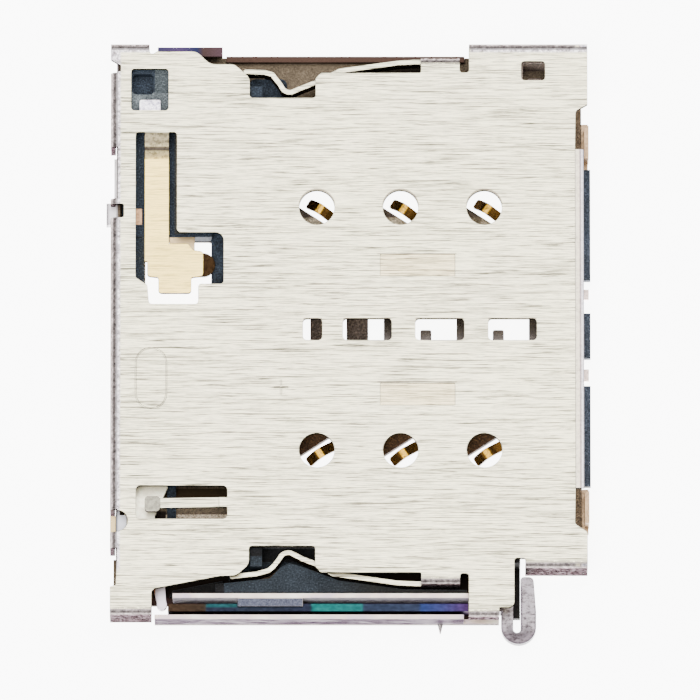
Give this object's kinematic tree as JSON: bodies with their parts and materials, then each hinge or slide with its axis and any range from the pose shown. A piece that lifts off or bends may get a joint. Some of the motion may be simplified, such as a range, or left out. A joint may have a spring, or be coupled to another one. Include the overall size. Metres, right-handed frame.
{
  "type": "sim card reader",
  "caption": "Flat board-mounted reader for a SIM card tray: steel cover over a moulded base with gold contacts, side leaf springs, and a push rod with lever that ejects the tray.",
  "frame": {"origin": "on the board face, under the middle of the six sight holes", "axes": "+X towards the tray mouth, +Y towards the side away from the eject hook, +Z away from the board"},
  "size_m": [0.0147, 0.0185, 0.0014],
  "materials": {
    "cover_steel": "brushed along X, warm light grey",
    "housing": "matte moulded, fine speckle",
    "floor_steel": "satin, slightly brown",
    "gold": "gold plated, satin",
    "dark_bronze": "dark bronze",
    "copper": "copper, satin",
    "rod_steel": "bare at the hook, heat tints of teal, navy and violet along the channel",
    "lever_steel": "satin beige",
    "rivet_steel": "satin",
    "tab_metal": "tinned, satin",
    "tail_metal": "tinned, satin"
  },
  "bodies": {
    "reader": {"shell": "cover_steel", "base": "housing", "bottom_plate": "floor_steel", "contact_1": "gold", "contact_2": "gold", "contact_3": "gold", "contact_4": "gold", "contact_5": "gold", "contact_6": "gold", "detect_terminal": "dark_bronze", "detect_return": "copper", "lever_pivot": "rivet_steel", "front_tab_upper": "tab_metal", "front_tab_lower": "tab_metal", "front_tail_upper": "tail_metal", "front_tail_lower": "tail_metal"},
    "rod": {"eject_rod": "rod_steel"},
    "lever": {"eject_lever": "lever_steel"}
  },
  "joints": [
    {"name": "rod_push", "type": "slide", "parent": "reader", "child": "rod", "axis": [-1, 0, 0], "range_m": [0, 0.001]},
    {"name": "lever_turn", "type": "hinge", "parent": "reader", "child": "lever", "pos_m": [-0.0078, -0.0063, 0.00056], "axis": [0, 0, -1], "range_deg": [0, 26.6]}
  ],
  "couplings": [
    {"joint": "lever_turn", "follows": "rod_push", "rad_per_m": 463.09}
  ]
}
